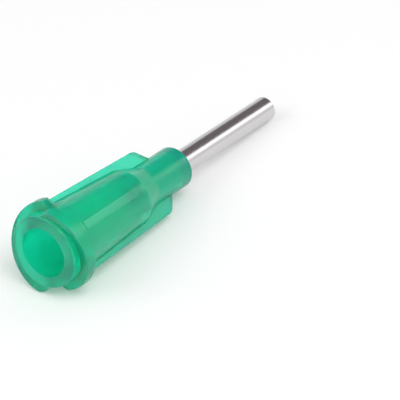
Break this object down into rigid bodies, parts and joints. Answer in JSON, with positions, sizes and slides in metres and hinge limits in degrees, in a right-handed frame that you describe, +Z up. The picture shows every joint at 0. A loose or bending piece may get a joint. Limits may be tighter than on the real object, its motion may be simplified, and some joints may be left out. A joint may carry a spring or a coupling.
{
  "type": "dispensing needle tip",
  "caption": "Straight blunt steel dispensing needle bonded in a green moulded hub with a female luer socket, helical locking lugs and side ribs.",
  "frame": {"origin": "centre of the bounding box at floor level", "axes": "+Z up from the floor, +X the way the tube points, +Y to the left of that; the needle's own axis lies in the XZ plane and dips 5.43 degrees towards +X"},
  "size_m": [0.031, 0.0078, 0.0078],
  "materials": {
    "green_hub": "translucent moulded polypropylene, soft gloss",
    "steel_tube": "polished drawn stainless tube",
    "clear_adhesive": "clear glossy cured adhesive"
  },
  "bodies": {
    "root": {"hub": "green_hub", "tube": "steel_tube", "adhesive": "clear_adhesive"}
  },
  "joints": []
}
